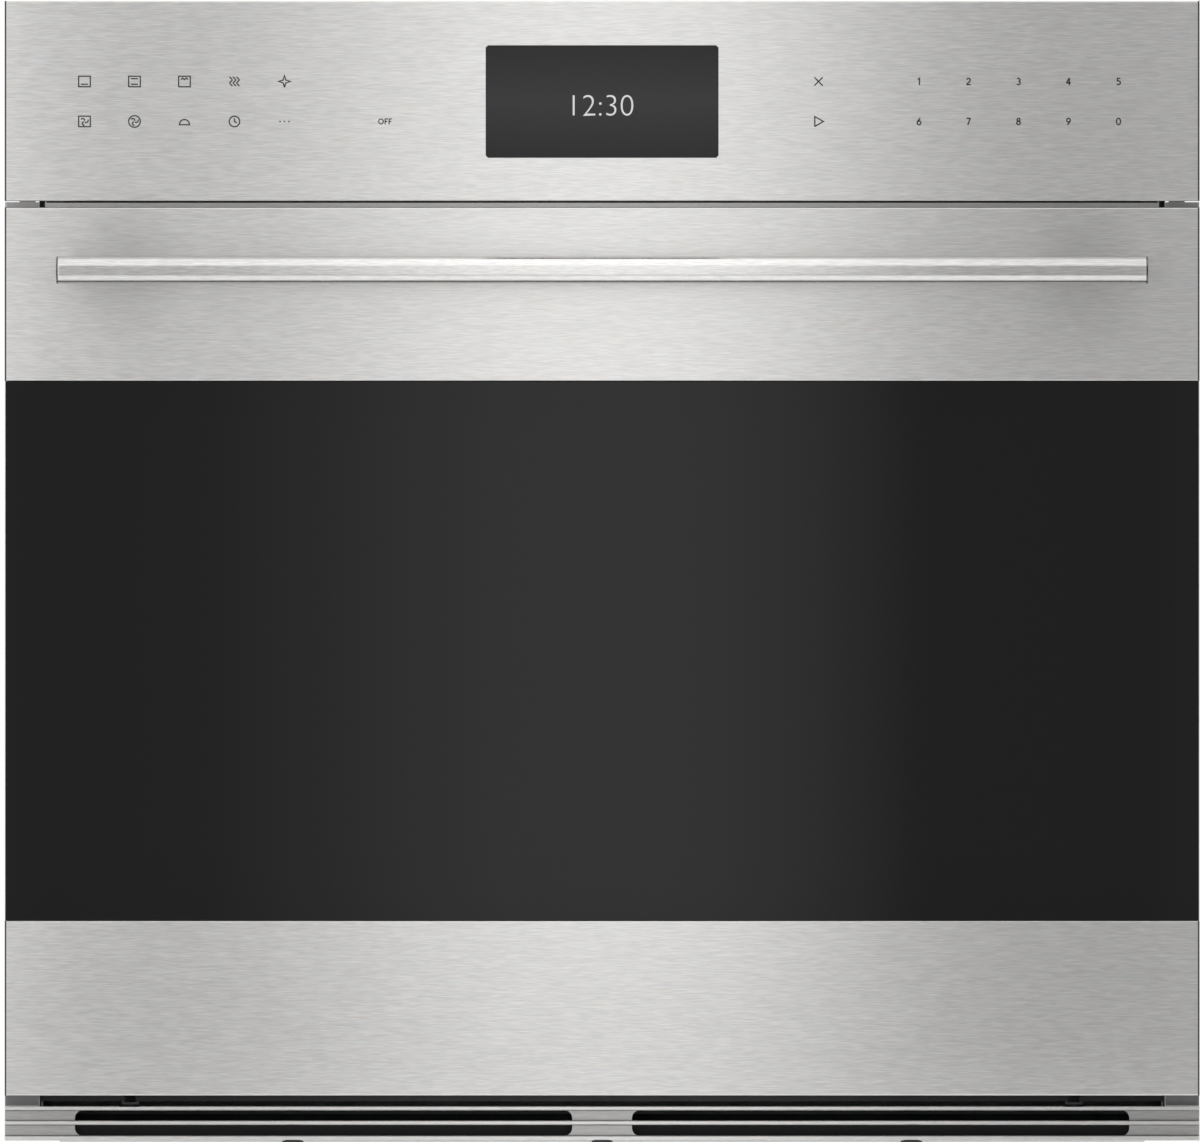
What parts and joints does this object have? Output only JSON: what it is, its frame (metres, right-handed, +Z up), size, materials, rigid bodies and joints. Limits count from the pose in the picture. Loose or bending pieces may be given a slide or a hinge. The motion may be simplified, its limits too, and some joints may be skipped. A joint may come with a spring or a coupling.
{
  "type": "wall oven",
  "caption": "Built-in electric wall oven with a flat control fascia, a drop-down glazed door with a bar handle, wire racks, convection fans and a louvred vent trim.",
  "frame": {"origin": "where the cabinet's shelf meets the cabinet's face plane, midway between the oven's sides", "axes": "+X to the right seen from the front, +Y into the cabinet, +Z up"},
  "size_m": [0.759, 0.6341, 0.7265],
  "materials": {
    "brushed_steel": "horizontal brushed stainless steel",
    "handle_steel": "fine brushed stainless steel",
    "door_glass": "dark tinted door glass",
    "clear_glass": "clear heat-resistant glass",
    "display": "smoked display window",
    "black_enamel": "black porcelain enamel",
    "cavity_enamel": "dark porcelain enamel",
    "galvanised": "galvanised sheet",
    "grey_trim": "grey painted steel",
    "rail_steel": "brushed steel",
    "wire_chrome": "bright plated wire",
    "element": "oxidised heating tube",
    "fan_aluminium": "pressed sheet",
    "motor": "black painted motor shell",
    "plated_steel": "zinc plated",
    "rubber": "soft dark pad",
    "gasket": "woven glass-fibre rope",
    "fibre": "glass-fibre blanket",
    "circuit": "green circuit board",
    "plastic": "black moulded plastic"
  },
  "bodies": {
    "casing": {"back_cover": "galvanised", "bake_element": "element", "base_pan": "galvanised", "blower_housing": "galvanised", "blower_motor": "motor", "bottom_vent_trim": "brushed_steel", "broil_element": "element", "casing_screws": "plated_steel", "cavity_liner": "cavity_enamel", "component_deck": "galvanised", "control_board": "circuit", "control_bracket": "plated_steel", "control_fascia": "brushed_steel", "convection_baffle": "cavity_enamel", "convection_elements": "element", "convection_motors": "motor", "display_glass": "display", "door_gasket": "gasket", "front_frame": "black_enamel", "hinge_arms": "plated_steel", "hinge_receivers": "plated_steel", "insulation_blanket": "fibre", "junction_plate": "galvanised", "lamp_bulbs": "clear_glass", "lamp_housings": "plated_steel", "lamp_lenses": "clear_glass", "latch_motor": "motor", "rack_ladders": "wire_chrome", "relay_board": "circuit", "side_panels": "galvanised", "side_trims": "grey_trim", "switch_housing": "plastic", "temperature_sensor": "plated_steel", "terminal_block": "plastic", "top_cover": "galvanised", "trim_bumpers": "rubber", "upper_rail": "rail_steel"},
    "door": {"door_upper_skin": "brushed_steel", "door_lower_skin": "brushed_steel", "door_outer_glass": "door_glass", "door_side_rails": "black_enamel", "door_frame": "black_enamel", "door_inner_glass": "clear_glass", "glass_spacer": "plated_steel", "door_middle_glass": "clear_glass", "door_insulation": "fibre", "handle_bar": "handle_steel", "handle_posts": "handle_steel", "handle_screws": "plated_steel", "hinge_channels": "plated_steel", "hinge_pins": "plated_steel", "hinge_springs": "plated_steel"},
    "left_fan": {"left_fan": "fan_aluminium"},
    "right_fan": {"right_fan": "fan_aluminium"},
    "blower_wheel": {"blower_wheel": "fan_aluminium"},
    "latch": {"latch_hook": "plated_steel"},
    "switch": {"switch_plunger": "plastic"},
    "upper_rack": {"upper_rack": "wire_chrome"},
    "lower_rack": {"lower_rack": "wire_chrome"},
    "spring_rods": {"spring_rods": "plated_steel"}
  },
  "joints": [
    {"name": "door_hinge", "type": "hinge", "parent": "casing", "child": "door", "pos_m": [0, -0.016, 0.026], "axis": [1, 0, 0], "range_deg": [0, 90], "stiffness_Nm_per_rad": 15},
    {"name": "left_fan_spin", "type": "hinge", "parent": "casing", "child": "left_fan", "pos_m": [-0.15, 0.48, 0.319], "axis": [0, 1, 0], "continuous": true},
    {"name": "right_fan_spin", "type": "hinge", "parent": "casing", "child": "right_fan", "pos_m": [0.15, 0.48, 0.319], "axis": [0, 1, 0], "continuous": true},
    {"name": "blower_spin", "type": "hinge", "parent": "casing", "child": "blower_wheel", "pos_m": [0, 0.39, 0.6], "axis": [0, 0, 1], "continuous": true},
    {"name": "latch_turn", "type": "hinge", "parent": "casing", "child": "latch", "pos_m": [0, 0.045, 0.568], "axis": [0, 0, 1], "range_deg": [0, 12]},
    {"name": "switch_slide", "type": "slide", "parent": "casing", "child": "switch", "axis": [0, -1, 0], "range_m": [0, 0.006]},
    {"name": "upper_rack_slide", "type": "slide", "parent": "casing", "child": "upper_rack", "axis": [0, -1, 0], "range_m": [0, 0.02]},
    {"name": "lower_rack_slide", "type": "slide", "parent": "casing", "child": "lower_rack", "axis": [0, -1, 0], "range_m": [0, 0.02]},
    {"name": "spring_rod_slide", "type": "slide", "parent": "door", "child": "spring_rods", "axis": [0, 0, -1], "range_m": [0, 0.012], "deforming": ["hinge_springs"]}
  ],
  "couplings": [
    {"joint": "switch_slide", "follows": "door_hinge", "m_per_rad": 0.0038197},
    {"joint": "spring_rod_slide", "follows": "door_hinge", "m_per_rad": 0.0076394}
  ]
}
